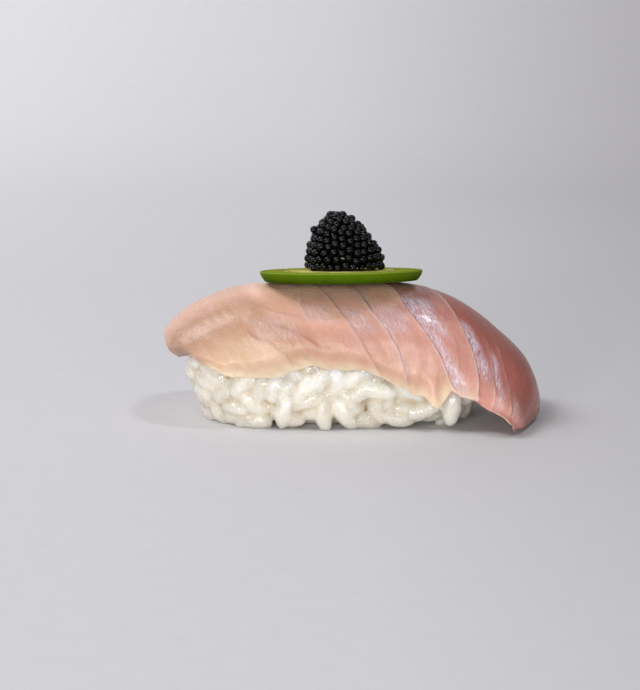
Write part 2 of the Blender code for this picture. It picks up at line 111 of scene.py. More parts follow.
# Wet, glossy places with a painted lavender sheen: seam that they start from, from and to beside it,
# from and to down the side, and how glossy they are and how much sheen is painted there.
GLOSS_AND_PAINTED_SHEEN = [(3, 0.3, 5.6, 7.2, 14.2, 1.0), (3, 0.2, 2.6, 13.5, 21.5, 0.8), (3, 0.2, 3.0, 4.6, 8.0, 0.35),
          (4, 0.3, 2.6, 9.4, 16.6, 0.95), (5, 0.2, 1.6, 11.5, 17.0, 0.8), (6, 0.6, 2.6, 16.0, 20.0, 0.5),
          (5, 0.8, 2.6, 16.0, 20.5, 0.55), (1, 0.2, 4.0, 11.0, 16.0, 0.5), (2, 0.2, 5.4, 10.5, 16.0, 0.5),
          (0, -1.0, 4.6, 10.5, 14.5, 0.4), (0, -12.0, -3.0, 13.0, 17.0, 0.3), (2, -0.2, 0.9, 6.0, 24.0, 0.5)]


def smooth(t):
    t = min(max(t, 0.0), 1.0)
    return t * t * (3.0 - 2.0 * t)


def smooth_all(t):
    t = np.clip(t, 0.0, 1.0)
    return t * t * (3.0 - 2.0 * t)


def glide(places, values, t):
    """Smooth curve through a few values, level before the first and straight after the last."""
    if t <= places[0]:
        return values[0]
    slopes = [(v1 - v0) / (p1 - p0) for p0, p1, v0, v1 in zip(places, places[1:], values, values[1:])]
    if t >= places[-1]:
        return values[-1] + (t - places[-1]) * slopes[-1]
    k = max(i for i, place in enumerate(places) if place <= t)
    joins = [0.0] + [0.5 * (s0 + s1) for s0, s1 in zip(slopes, slopes[1:])] + [slopes[-1]]
    step = places[k + 1] - places[k]
    u = (t - places[k]) / step
    bend = u * (1.0 - u) * ((joins[k] - slopes[k]) * (1.0 - u) - (joins[k + 1] - slopes[k]) * u)
    return values[k] * (1.0 - u) + values[k + 1] * u + step * bend


def trace_crest():
    """Curve through the points of the slice's top line: distance along it, x and z."""
    pts = [Vector(p) for p in CREST]
    pts = [2.0 * pts[0] - pts[1]] + pts + [2.0 * pts[-1] - pts[-2]]
    line = []
    for p0, p1, p2, p3 in zip(pts, pts[1:], pts[2:], pts[3:]):
        for k in range(24):
            t = k / 24.0
            curve = 2.0 * p1 + (p2 - p0) * t + (2.0 * p0 - 5.0 * p1 + 4.0 * p2 - p3) * t * t
            line.append(0.5 * (curve + (3.0 * p1 - p0 - 3.0 * p2 + p3) * t * t * t))
    line.append(pts[-2])
    steps = [0.0]
    for a, b in zip(line, line[1:]):
        steps.append(steps[-1] + (b - a).length)
    return np.array(steps), np.array([p.x for p in line]), np.array([p.y for p in line])


CREST_S, CREST_X, CREST_Z = trace_crest()
CREST_LENGTH = float(CREST_S[-1])


def crest_frame(e):
    """Point and direction of the top line at distance e, carried on straight past its ends."""
    inside = min(max(e, 0.0), CREST_LENGTH)
    low = max(inside - 0.6, 0.0)
    high = min(inside + 0.6, CREST_LENGTH)
    x, x0, x1 = np.interp((inside, low, high), CREST_S, CREST_X)
    z, z0, z1 = np.interp((inside, low, high), CREST_S, CREST_Z)
    length = math.hypot(x1 - x0, z1 - z0)
    tx = (x1 - x0) / length
    tz = (z1 - z0) / length
    return x + (e - inside) * tx, z + (e - inside) * tz, tx, tz


def fall_angle(e):
    """How steeply the sides hang at distance e: less at the start, almost flat at the tail."""
    u = e / CREST_LENGTH
    tail = 1.0 - 0.76 * smooth((u - 0.60) / 0.38)
    return max(SIDE_ANGLE * (0.66 + 0.34 * smooth(u / 0.28)) * tail, CROWN_ANGLE + 0.001)


def slice_point(a, b, depth):
    """Point of the slice: a along it, b across it (front negative), depth below its top face."""
    e = a - GRAIN_LEAN * b
    x, z, tx, tz = crest_frame(e)
    angle = fall_angle(e)
    reach = abs(b)
    crown_end = CROWN_RADIUS * CROWN_ANGLE
    shoulder_end = crown_end + SHOULDER_RADIUS * (angle - CROWN_ANGLE)
    turn = min(reach, crown_end) / CROWN_RADIUS
    out = CROWN_RADIUS * math.sin(turn)
    drop = CROWN_RADIUS * (1.0 - math.cos(turn))
    if reach > crown_end:
        turn = CROWN_ANGLE + (min(reach, shoulder_end) - crown_end) / SHOULDER_RADIUS
        out += SHOULDER_RADIUS * (math.sin(turn) - math.sin(CROWN_ANGLE))
        drop += SHOULDER_RADIUS * (math.cos(CROWN_ANGLE) - math.cos(turn))
    rest = max(reach - shoulder_end, 0.0)
    out += rest * math.cos(angle) - depth * math.sin(turn)
    drop += rest * math.sin(angle) + depth * math.cos(turn)
    return Vector((x + drop * tz, math.copysign(out, b), z - drop * tx))


def slice_start(b):
    return max(SLICE_START, GRAIN_LEAN * b - 0.8)


def slice_end(b):
    return SLICE_END + GRAIN_LEAN * b - END_RISE * max(b + 16.0, 0.0) ** 2


def slice_thickness(a, b):
    e = a - GRAIN_LEAN * b
    side = 1.0 - 0.62 * smooth((abs(b) - 9.0) / 16.0)
    return SLICE_THICKNESS * side * (1.0 - 0.45 * smooth((e / CREST_LENGTH - 0.72) / 0.24))


def rounding(distance, radius):
    """How far a rounded edge falls away at a distance in from it."""
    inward = min(max(distance, 0.0), radius)
    return radius - math.sqrt(radius * radius - (radius - inward) ** 2)


def guide_at(k, b):
    """Place of an end of the slice, or of a seam, at b across."""
    if k == 0:
        return slice_start(b)
    if k == len(SEAMS) + 1:
        return slice_end(b)
    return glide(SEAM_STATIONS, SEAMS[k - 1], -b)


def slice_columns(pitch, start_steps, end_steps):
    """Lines across the slice: the guide before it, steps off the two guides, and part of the way."""
    crown = [SLICE_START] + [seam[0] for seam in SEAMS] + [SLICE_END]
    last = len(SEAMS)
    columns = [(0, step, 0.0, 0.0) for step in start_steps[:-1]]
    for k, (left, right) in enumerate(zip(crown, crown[1:])):
        count = max(2, round((right - left) / pitch))
        lead = start_steps[-1] if k == 0 else 0.0
        trail = end_steps[-1] if k == last else 0.0
        for j in range(count):
            u = j / count
            columns.append((k, lead, trail, u - 0.07 * math.sin(2.0 * math.pi * u)))
    return columns + [(last, 0.0, step, 1.0) for step in reversed(end_steps)]


def column_at(column, b):
    k, lead, trail, part = column
    return (guide_at(k, b) + lead) * (1.0 - part) + (guide_at(k + 1, b) - trail) * part


def edge_across(column, side):
    """Where a line across meets the slice's near (-1) or far (+1) edge, found by halving."""
    places, values = zip(*(NEAR_EDGE if side < 0 else FAR_EDGE))
    low = 8.0
    high = 32.0
    for _ in range(18):
        reach = 0.5 * (low + high)
        if np.interp(column_at(column, side * reach), places, values) > reach:
            low = reach
        else:
            high = reach
    return side * low


def slice_grid(pitch, start_steps, end_steps, edge_steps, inner, gap):
    """Places (a, b) of a grid over the slice, with its rows closer together along its edges."""
    along = []
    across = []
    for column in slice_columns(pitch, start_steps, end_steps):
        near = edge_across(column, -1) - gap
        far = edge_across(column, 1) + gap
        deep = edge_steps[-1]
        rows = [near + step for step in edge_steps]
        rows += [near + deep + (far - near - 2.0 * deep) * j / inner for j in range(1, inner)]
        rows += [far - step for step in reversed(edge_steps)]
        across.append(rows)
        along.append([column_at(column, b) for b in rows])
    return np.array(along), np.array(across)


def beside_seams(along, across):
    """Distance of each place past each seam and crease, and how open each is there."""
    table = np.linspace(-34.0, 34.0, 545)
    lines = [(SEAM_STATIONS, seam, step, opens, closes)
             for seam, step, opens, closes in zip(SEAMS, SEAM_STEPS, SEAM_OPENS, SEAM_CLOSES)]
    lines += [(places, values, step, places[0], places[-1]) for places, values, step, _ in CREASES]
    found = []
    for places, values, step, opens, closes in lines:
        if closes < 40.0 and opens > 0.0:
            line = np.interp(table, [-p for p in reversed(places)], list(reversed(values)))
        else:
            line = np.array([glide(places, values, -b) for b in table])
        slope = np.interp(across, table, np.gradient(line, table))
        past = (along - np.interp(across, table, line)) / np.hypot(1.0, slope)
        down = np.where(across < 0.0, -across, 0.0 if opens > 0.0 else across)
        fade = 1.6 if closes > 40.0 else 1.1
        shown = smooth_all((down - opens + 0.6) / fade) * smooth_all((closes + 0.6 - down) / fade)
        found.append((past, step * shown))
    return found


def finished_mesh(mesh, name, matrix=IN_FRAME):
    """Turns a bmesh drawn in millimetres into an object in the frame, smooth and facing outward."""
    bmesh.ops.recalc_face_normals(mesh, faces=mesh.faces)
    for face in mesh.faces:
        face.smooth = True
    data = bpy.data.meshes.new(name)
    mesh.to_mesh(data)
    mesh.free()
    data.transform(matrix)
    thing = bpy.data.objects.new(name, data)
    bpy.context.scene.collection.objects.link(thing)
    return thing


def draw_relief(beside, inside):
    """Depth of the seams and creases, their pale lines with a painted highlight on each lip, their red
    lines, and the painted shade under each lip.
    """
    depth, seam_line_and_painted_highlight, red_line, under = (np.zeros_like(inside) for _ in range(4))
    reds = [0.0] * len(SEAMS) + [crease[3] for crease in CREASES]
    for (past, step), red in zip(beside, reds):
        ahead = np.maximum(past, 0.0)
        behind = np.minimum(past, 0.0)
        shown = np.minimum(step / max(step.max(), 0.01), 1.0)
        turn = smooth_all((past + 0.12) / LIP_WIDTH)
        depth += step * inside * (turn * LIP_DROP * np.exp(-ahead / LIP_REACH)
                                  - (1.0 - turn) * LIP_SWELL * np.exp(behind / 0.8))
        if red == 0.0:
            # The pale line along each seam, with a painted highlight on the lip before it.
            pale = np.exp(-((past + 0.08) / 0.26) ** 2) + 0.35 * np.exp(behind / 0.9) * (past < 0.0)
            seam_line_and_painted_highlight = np.maximum(seam_line_and_painted_highlight, min(step.max(), 1.1) * pale * shown)
        red_line = np.maximum(red_line, red * np.exp(-(past / 0.26) ** 2) * shown)
        # Painted shade under each lip.
        shade = 0.65 * np.exp(-np.maximum(past - 0.2, 0.0) / 0.5) + 0.35 * np.exp(-ahead / 2.8)
        under = np.maximum(under, np.minimum(step, 1.2) * shade * smooth_all((past - 0.02) / 0.25))
    return depth, seam_line_and_painted_highlight, red_line, under


def draw_gloss_and_painted_sheen(beside, down):
    """How glossy each place is, and how much lavender sheen is painted there."""
    gloss_and_painted_sheen = np.zeros_like(down)
    for k, first, last, high, low, amount in GLOSS_AND_PAINTED_SHEEN:
        past = beside[k][0]
        soft = 0.5 if first > -0.5 else 5.0
        patch = smooth_all((past - first + 0.5 * soft) / soft) * smooth_all((last + 1.1 - past) / 2.2)
        patch = patch * smooth_all((down - high + 1.2) / 2.4) * smooth_all((low + 1.2 - down) / 2.4)
        gloss_and_painted_sheen = np.maximum(gloss_and_painted_sheen, amount * patch)
    return gloss_and_painted_sheen


def draw_tones_and_painted_light(along, across, side, beside):
    """Tone of the flesh, how pale it is towards its thin edges, and the painted light on its crown and under
    the chili.
    """
    past_third = beside[THIRD_SEAM][0]
    past_tail = beside[TAIL_SEAM][0]
    reach = np.abs(across)
    tail = smooth_all((past_tail + 0.1) / 0.5)
    third = smooth_all((past_third + 0.1) / 0.4) * (1.0 - tail)
    part = np.clip(past_third / np.maximum(past_third - past_tail, 0.5), 0.0, 1.0)
    down = smooth_all((reach - 6.0) / 14.0)
    flesh = np.clip((along + 4.0) / 62.0, 0.0, 1.0) * 0.50
    flesh = flesh * (1.0 - third - tail) + third * (0.72 - 0.10 * part - 0.25 * down)
    flesh += tail * (0.84 + 0.14 * np.clip(past_tail / 20.0, 0.0, 1.0) - 0.06 * down
                     - 0.36 * smooth_all((reach - 12.5) / 8.0))
    low_edge = smooth_all((reach - 16.5 + 3.5 * smooth_all((20.0 - along) / 8.0)) / 8.0)
    low_edge = low_edge * (1.0 - 0.9 * tail) * (1.0 - 0.4 * third)
    low_edge *= 1.0 - 0.45 * smooth_all((along - 16.0) / 14.0)
    edge_fade = smooth_all(1.0 - side / 2.3) * (1.0 - tail)
    # Painted light: the crown is lightened where its top lies in shade, and the strip under the chili where
    # the chili's shadow falls.
    crown = smooth_all((10.5 - reach) / 6.0) * (1.0 - third - tail)
    from_chili = np.hypot(along - GRAIN_LEAN * across - 33.4, across)
    painted_light_under_chili = smooth_all((17.5 - from_chili) / 4.0)
    return flesh, low_edge + edge_fade, np.maximum(crown, 0.0) + painted_light_under_chili


def grid_cell(vert, columns, rows):
    """Column and row of a point of a flat grid that still runs from -1 to 1."""
    return round((vert.co.x + 1.0) * 0.5 * (columns - 1)), round((vert.co.y + 1.0) * 0.5 * (rows - 1))


def lay_slice():
    start_steps = [0.0, 0.1, 0.28, 0.55, 0.9, 1.3, 1.8, 2.4]
    end_steps = [0.0, 0.08, 0.2, 0.38, 0.6, 0.9]
    edge_steps = [0.0, 0.06, 0.15, 0.28, 0.42, 0.6, 0.85]
    along, across = slice_grid(SLICE_PITCH, start_steps, end_steps, edge_steps, SLICE_ROWS, 0.0)
    columns, rows = along.shape
    side = np.minimum(across - across[:, :1], across[:, -1:] - across)
    beside = beside_seams(along, across)
    inside = smooth_all(side / 1.6) * (0.3 + 0.7 * smooth_all((np.abs(across) - 6.0) / 6.0))
    depth, seam_line_and_painted_highlight, red_line, under = draw_relief(beside, inside)
    gloss_and_painted_sheen = draw_gloss_and_painted_sheen(beside, np.abs(across))
    flesh, low_edge, crown = draw_tones_and_painted_light(along, across, side, beside)

    mesh = bmesh.new()
    place_layer = mesh.verts.layers.float_vector.new("place")
    marks_layer = mesh.verts.layers.float_vector.new("marks")
    tones_layer = mesh.verts.layers.float_vector.new("tones")
    bmesh.ops.create_grid(mesh, x_segments=columns - 1, y_segments=rows - 1, size=1.0)
    top = {vert: grid_cell(vert, columns, rows) for vert in mesh.verts}
    for vert, cell in top.items():
        # The place's third value is the painted light on the crown and under the chili.
        vert[place_layer] = (along[cell], across[cell], crown[cell])
        # The marks carry the pale seam lines with their painted lip highlights, the red lines, and the gloss
        # with its painted sheen; the tones carry the flesh's tone, its pale edges and the painted shade
        # under each lip.
        vert[marks_layer] = (seam_line_and_painted_highlight[cell], red_line[cell], gloss_and_painted_sheen[cell])
        vert[tones_layer] = (flesh[cell], low_edge[cell], under[cell])
    grown = bmesh.ops.extrude_face_region(mesh, geom=mesh.faces[:], use_keep_orig=True)
    below = {item: grid_cell(item, columns, rows)
             for item in grown["geom"] if isinstance(item, bmesh.types.BMVert)}
    for vert, cell in top.items():
        a = along[cell]
        b = across[cell]
        edge = side[cell]
        ends = rounding(a - slice_start(b), START_ROUND) + rounding(slice_end(b) - a, END_ROUND)
        fall = rounding(edge, EDGE_ROUND) + ends + depth[cell] + EDGE_WEDGE * (1.0 - smooth(edge / 3.4))
        fall += SWELL * noise.noise(Vector((a * 0.16, b * 0.12, 3.0)))
        fall += FIBRE * noise.noise(Vector((a * 0.9, b * 0.28, 7.0)))
        fall += RIPPLE * smooth((abs(b) - 15.0) / 6.0) * noise.noise(Vector((a * 0.3, b * 0.3, 11.0)))
        vert.co = slice_point(a, b, min(fall, slice_thickness(a, b) * 0.7))
    for vert, cell in below.items():
        a = along[cell]
        b = across[cell]
        start = rounding(a - slice_start(b), START_ROUND)
        thick = slice_thickness(a, b) - 0.6 * start - rounding(side[cell], 0.2)
        vert.co = slice_point(a, b, max(thick, slice_thickness(a, b) * 0.8))
        vert[place_layer] = (a, b, 0.0)
    return finished_mesh(mesh, "yellowtail")


def tint(red, green, blue):
    """A colour given as a screen shows it, from 0 to 255, turned into light."""
    light = [(c / 255.0 / 12.92) if c <= 10 else ((c / 255.0 + 0.055) / 1.055) ** 2.4
             for c in (red, green, blue)]
    return (*light, 1.0)


def add(tree, kind, sockets=None, **settings):
    """Adds a shader node: settings are its properties, sockets its values or what feeds them."""
    made = tree.nodes.new("ShaderNode" + kind)
    for name, value in settings.items():
        setattr(made, name, value)
    for name, value in (sockets or {}).items():
        if isinstance(value, bpy.types.NodeSocket):
            tree.links.new(value, made.inputs[name])
        else:
            made.inputs[name].default_value = value
    return made


def sums(tree, operation, first, second, clamp=False):
    return add(tree, "Math", {0: first, 1: second}, operation=operation, use_clamp=clamp).outputs[0]


def mixed(tree, part, first, second):
    """Mixes two colours by a part from 0 to 1."""
    return add(tree, "Mix", {0: part, 6: first, 7: second}, data_type="RGBA").outputs[2]


def ramp(tree, value, stops):
    """Runs a value through a row of colours, given as (place, shade)."""
    made = add(tree, "ValToRGB", {"Fac": value})
    band = made.color_ramp
    while len(band.elements) < len(stops):
        band.elements.new(0.5)
    for element, (place, shade) in zip(band.elements, stops):
        element.position = place
        element.color = tint(*shade)
    return made.outputs["Color"]


def ranged(tree, value, low, high, to_low, to_high):
    return add(tree, "MapRange", {"Value": value, "From Min": low, "From Max": high,
                                  "To Min": to_low, "To Max": to_high}).outputs["Result"]


def tinged(tree, colour, tinges):
    """Draws a colour towards others in turn: where a value goes from low to high, by most at most."""
    for value, low, high, most, shade in tinges:
        colour = mixed(tree, ranged(tree, value, low, high, 0.0, most), colour, tint(*shade))
    return colour


def clouds(tree, place, scale, detail=2.0, **more):
    """Cloudy pattern over a piece, from 0 to 1; more are its other sockets."""
    return add(tree, "TexNoise", {"Vector": place, "Scale": scale, "Detail": detail, **more}).outputs["Fac"]


def read_marks(tree, name):
    """The three values that a piece's mesh carries under a name."""
    kept = add(tree, "Attribute", attribute_name=name).outputs["Vector"]
    return add(tree, "SeparateXYZ", {0: kept}).outputs


def object_place(tree):
    return add(tree, "TexCoord").outputs["Object"]


def new_material(name, **constants):
    """A material with its plain numbers set straight on its shader."""
    material = bpy.data.materials.new(name)
    material.use_nodes = True
    shader = material.node_tree.nodes["Principled BSDF"]
    for socket, value in constants.items():
        shader.inputs[socket.replace("_", " ")].default_value = value
    return material, material.node_tree, shader


def finish_bump(tree, shader, height, strength, distance):
    bump = add(tree, "Bump", {"Strength": strength, "Distance": distance, "Height": height})
    tree.links.new(bump.outputs["Normal"], shader.inputs["Normal"])


def make_wet_film():
    """Uneven film of moisture: small swells and beads, and where it is thick."""
    group = bpy.data.node_groups.new("wet_film", "ShaderNodeTree")
    for name, kind, way in (("Place", "NodeSocketVector", "INPUT"), ("Fineness", "NodeSocketFloat", "INPUT"),
                            ("Height", "NodeSocketFloat", "OUTPUT"), ("Thick", "NodeSocketFloat", "OUTPUT")):
        group.interface.new_socket(name=name, in_out=way, socket_type=kind)
    taken = group.nodes.new("NodeGroupInput")
    given = group.nodes.new("NodeGroupOutput")
    place, fineness = taken.outputs["Place"], taken.outputs["Fineness"]
    swell = clouds(group, place, fineness, 3.0, Roughness=0.55, Distortion=0.4)
    patch = clouds(group, place, sums(group, "MULTIPLY", fineness, 0.28))
    group.links.new(swell, given.inputs["Height"])
    group.links.new(ranged(group, patch, 0.38, 0.62, 0.0, 1.0), given.inputs["Thick"])
    return group


wet_film = make_wet_film()


def wet(tree, place, fineness):
    film = tree.nodes.new("ShaderNodeGroup")
    film.node_tree = wet_film
    tree.links.new(place, film.inputs["Place"])
    film.inputs["Fineness"].default_value = fineness
    return film.outputs["Height"], film.outputs["Thick"]


def laid(tree, place, stretch, turn):
    """Draws a pattern out across the slice and turns it, as the fibres lie."""
    return add(tree, "Mapping", {"Vector": place, "Scale": (1.0, stretch, 1.0),
                                 "Rotation": (0.0, 0.0, turn)}).outputs["Vector"]


def calmed(tree, value, middle, calm):
    """Draws a pattern in towards its middle value."""
    return sums(tree, "ADD", sums(tree, "MULTIPLY", sums(tree, "SUBTRACT", value, middle), calm), middle)


def make_flesh_material():
    material, tree, shader = new_material(
        "raw_yellowtail", Subsurface_Weight=0.35, Subsurface_Radius=(1.0, 0.42, 0.28),
        Subsurface_Scale=0.0025, IOR=1.4, Coat_Roughness=0.12)
    kept = add(tree, "Attribute", attribute_name="place").outputs["Vector"]
    # The place's third value is the painted light on the crown and under the chili.
    crown = add(tree, "SeparateXYZ", {0: kept}).outputs["Z"]
    place = add(tree, "VectorMath", {0: kept, 1: (1.0, 1.0, 0.0)}, operation="MULTIPLY").outputs[0]
    seam, crease, gloss_and_painted_sheen = read_marks(tree, "marks")
    flesh, low_edge, under = read_marks(tree, "tones")
    drift = ranged(tree, clouds(tree, place, 0.11), 0.0, 1.0, -0.05, 0.05)
    flesh = sums(tree, "ADD", flesh, drift, clamp=True)
    colour = ramp(tree, flesh, [(0.0, (172, 136, 114)), (0.14, (184, 144, 117)), (0.26, (199, 150, 131)),
                                (0.40, (203, 148, 134)), (0.52, (196, 138, 125)), (0.72, (166, 104, 96)),
                                (0.86, (162, 95, 84)), (1.0, (158, 91, 81))])
    calm = ranged(tree, flesh, 0.6, 0.8, 1.0, 0.3)
    cloud = calmed(tree, clouds(tree, place, 0.32, 3.0, Distortion=0.6), 0.46, calm)
    fibre = clouds(tree, laid(tree, place, 0.22, 0.25), 1.5, 5.0, Roughness=0.6, Distortion=0.5)
    fibre = calmed(tree, fibre, 0.48, calm)
    fickle = clouds(tree, place, 0.5, 3.0)
    # The pale seam line, with its painted lip highlight.
    line = sums(tree, "MULTIPLY", seam, ranged(tree, fickle, 0.35, 0.65, 0.25, 1.0))
    brim = sums(tree, "ADD", low_edge, ranged(tree, fickle, 0.35, 0.65, -0.35, 0.25))
    crinkle_place = laid(tree, place, 0.5, -0.5)
    crinkle = clouds(tree, crinkle_place, 1.35, 4.0, Roughness=0.62, Distortion=0.9)
    ridge = add(tree, "TexNoise", {"Vector": crinkle_place, "Scale": 2.1, "Detail": 3.0, "Roughness": 0.6,
                                   "Distortion": 0.7}, noise_type="RIDGED_MULTIFRACTAL",
                normalize=True).outputs["Fac"]
    # Painted sheen: a crinkled lavender sheen on the glossy places.
    painted_sheen = sums(tree, "MULTIPLY", gloss_and_painted_sheen, ranged(tree, crinkle, 0.32, 0.62, 0.12, 1.0), clamp=True)
    # Painted glints: fine pale strokes on the glossy places.
    painted_glint_strokes = ranged(tree, clouds(tree, laid(tree, place, 0.16, 0.35), 3.6), 0.60, 0.68, 0.0, 0.7)
    painted_glint_strokes = sums(tree, "MULTIPLY", painted_glint_strokes, ranged(tree, gloss_and_painted_sheen, 0.1, 0.6, 0.0, 1.0))
    colour = tinged(tree, colour, [
        # Painted light on the crown, stronger on the strip under the chili.
        (crown, 0.0, 1.0, 0.55, (229, 179, 154)), (crown, 0.9, 2.0, 0.9, (255, 206, 180)),
        (low_edge, 0.0, 1.0, 0.75, (226, 194, 162)),
        (cloud, 0.48, 0.75, 0.3, (226, 186, 172)), (cloud, 0.45, 0.25, 0.14, (196, 122, 104)),
        (fibre, 0.5, 0.72, 0.14, (232, 200, 190)), (fibre, 0.46, 0.28, 0.05, (176, 104, 88)),
        # Painted shade under each lip, then the pale seam line with its painted lip highlight.
        (under, 0.0, 1.2, 0.5, (156, 88, 62)), (line, 0.0, 1.1, 0.6, (236, 208, 204)),
        (crease, 0.0, 1.6, 0.6, (168, 78, 70)), (brim, 0.9, 1.9, 0.75, (232, 212, 184)),
        # Painted sheen and painted glint strokes on the glossy places.
        (painted_sheen, 0.0, 1.0, 0.85, (216, 200, 214)), (painted_glint_strokes, 0.0, 1.0, 1.0, (244, 226, 224))])
    tree.links.new(colour, shader.inputs["Base Color"])
    height, thick = wet(tree, place, 1.4)
    rough = ranged(tree, thick, 0.0, 1.0, 0.34, 0.26)
    rough = sums(tree, "SUBTRACT", rough, sums(tree, "MULTIPLY", painted_sheen, 0.14))
    tree.links.new(rough, shader.inputs["Roughness"])
    tree.links.new(ranged(tree, gloss_and_painted_sheen, 0.0, 1.0, 0.06, 0.5), shader.inputs["Coat Weight"])
    crisp = sums(tree, "MULTIPLY", ridge, ranged(tree, gloss_and_painted_sheen, 0.05, 1.0, 0.03, 1.7))
    height = sums(tree, "ADD", sums(tree, "MULTIPLY", height, 0.35), crisp)
    height = sums(tree, "ADD", height, sums(tree, "MULTIPLY", fibre, 0.08))
    finish_bump(tree, shader, height, 0.8, 0.0003)
    return material


yellowtail = lay_slice()
yellowtail.data.materials.append(make_flesh_material())
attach(yellowtail, "root")
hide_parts("yellowtail_slice")

# ---------------------------------------------------------------------------------------------
# Rice. A hand-pressed block of cooked short grains, soft and sticky, so that neighbours fuse
# where they touch. Each grain is its own lump, the lumps are pressed into one another around
# the block, and the block's top takes the form of the slice laid on it.
# ---------------------------------------------------------------------------------------------
RICE_FORM = [(0.0, -3.0, 23.9, 13.5), (3.0, -3.0, 25.2, 14.0), (6.5, -3.0, 26.6, 14.3),
             (10.0, -3.1, 27.2, 14.1), (14.0, -3.2, 26.2, 13.4), (18.0, -3.6, 22.0, 11.0),
             (21.0, -4.0, 14.0, 6.5)]
RICE_HALF = (3.4, 1.8, 1.6)
# How far from its middle a grain's ends are taken to be, when it is set apart from the others.
GRAIN_REACH = 2.1
# Grains drawn, the least gap that they may have, and how deep they sink: an outer and a filling set.
GRAIN_SETS = [(130, 2.0, 1.1), (150, 1.25, 1.35)]
# The rice within the grains: height, and how far inside the block's form it stays.
RICE_CORE = [(0.1, 4.2), (0.9, 2.7), (2.2, 1.6), (4.0, 0.9), (6.5, 0.55), (9.0, 0.5), (11.5, 0.5),
             (14.0, 0.5), (17.0, 0.7), (20.0, 1.0), (22.0, 1.0)]
# Fineness at which the grains are fused, and the most triangles that the rice may have.
RICE_VOXEL = 0.25
RICE_MOST = 185000
RICE_SEED = 11
# The noise that bends the grains and the seeds starts from the clock unless it is given a seed.
noise.seed_set(RICE_SEED)
# Grains that stand out of the block: where each is, which way it lies, and its size.
STRAY_GRAINS = [((17.9, -12.4, 4.6), (0.08, 0.05, 1.0), 1.24), ((13.2, -12.0, 3.4), (0.9, 0.1, 0.4), 1.1),
                ((21.6, -9.2, 6.4), (0.7, 0.3, 1.0), 1.0), ((-6.4, -13.2, 8.2), (0.8, 0.0, 0.7), 1.05),
                ((4.2, -13.2, 7.4), (1.0, 0.0, -0.12), 1.1)]


def rice_form(angle, z, inset):
    """Point on the block's outer form, lumpy as pressed by hand, moved in by the inset."""
    heights = [station[0] for station in RICE_FORM]
    middle, half_x, half_y = (
        float(np.interp(z, heights, [station[k] for station in RICE_FORM])) for k in (1, 2, 3))
    power = 2.0 / 2.7
    cos = math.cos(angle)
    sin = math.sin(angle)
    x = math.copysign(abs(cos) ** power, cos)
    y = math.copysign(abs(sin) ** power, sin)
    place = Vector((middle + (half_x - inset) * x, (half_y - inset) * y, z))
    return place + 0.7 * noise.noise(place / 6.5) * Vector((x, y, 0.0))


def rice_facing(angle, z):
    """The way out from the block's side."""
    round_it = rice_form(angle + 0.02, z, 0.0) - rice_form(angle - 0.02, z, 0.0)
    up_it = rice_form(angle, z + 0.3, 0.0) - rice_form(angle, z - 0.3, 0.0)
    return round_it.cross(up_it).normalized()


def place_grains():
    """Spreads grains over the sides: each takes the emptiest of many drawn places."""
    draw = random.Random(RICE_SEED)
    taken = np.zeros((0, 3))
    grains = []
    for count, spread, sink in GRAIN_SETS:
        for _ in range(count):
            best = None
            for _ in range(60):
                angle = draw.uniform(-math.pi, math.pi)
                z = draw.uniform(0.0, 16.5)
                spin = draw.uniform(0.0, math.pi)
                size = draw.uniform(0.86, 1.12)
                deep = sink + draw.uniform(-0.25, 0.35)
                normal = rice_facing(angle, z)
                place = rice_form(angle, z, 0.0) - normal * deep
                level = Vector((-normal.y, normal.x, 0.0)).normalized()
                direction = (Matrix.Rotation(spin, 3, normal) @ level).normalized()
                ends = [place - direction * GRAIN_REACH, place, place + direction * GRAIN_REACH]
                if min(end.z for end in ends) < 0.15:
                    continue
                gap = 9.0
                if len(taken):
                    gap = min(np.linalg.norm(taken - np.array(end), axis=1).min() for end in ends)
                if best is None or gap > best[0]:
                    best = (gap, place, direction, normal, size, ends)
            if best is None or best[0] < spread:
                continue
            taken = np.vstack([taken, [tuple(end) for end in best[5]]])
            grains.append(best[1:])
    for place, direction, size in STRAY_GRAINS:
        place = Vector(place)
        direction = Vector(direction).normalized()
        normal = direction.cross(Vector((0.9, 0.3, 0.2))).normalized()
        ends = [place - direction * GRAIN_REACH, place, place + direction * GRAIN_REACH]
        grains.append((place, direction, normal, size, ends))
    return grains


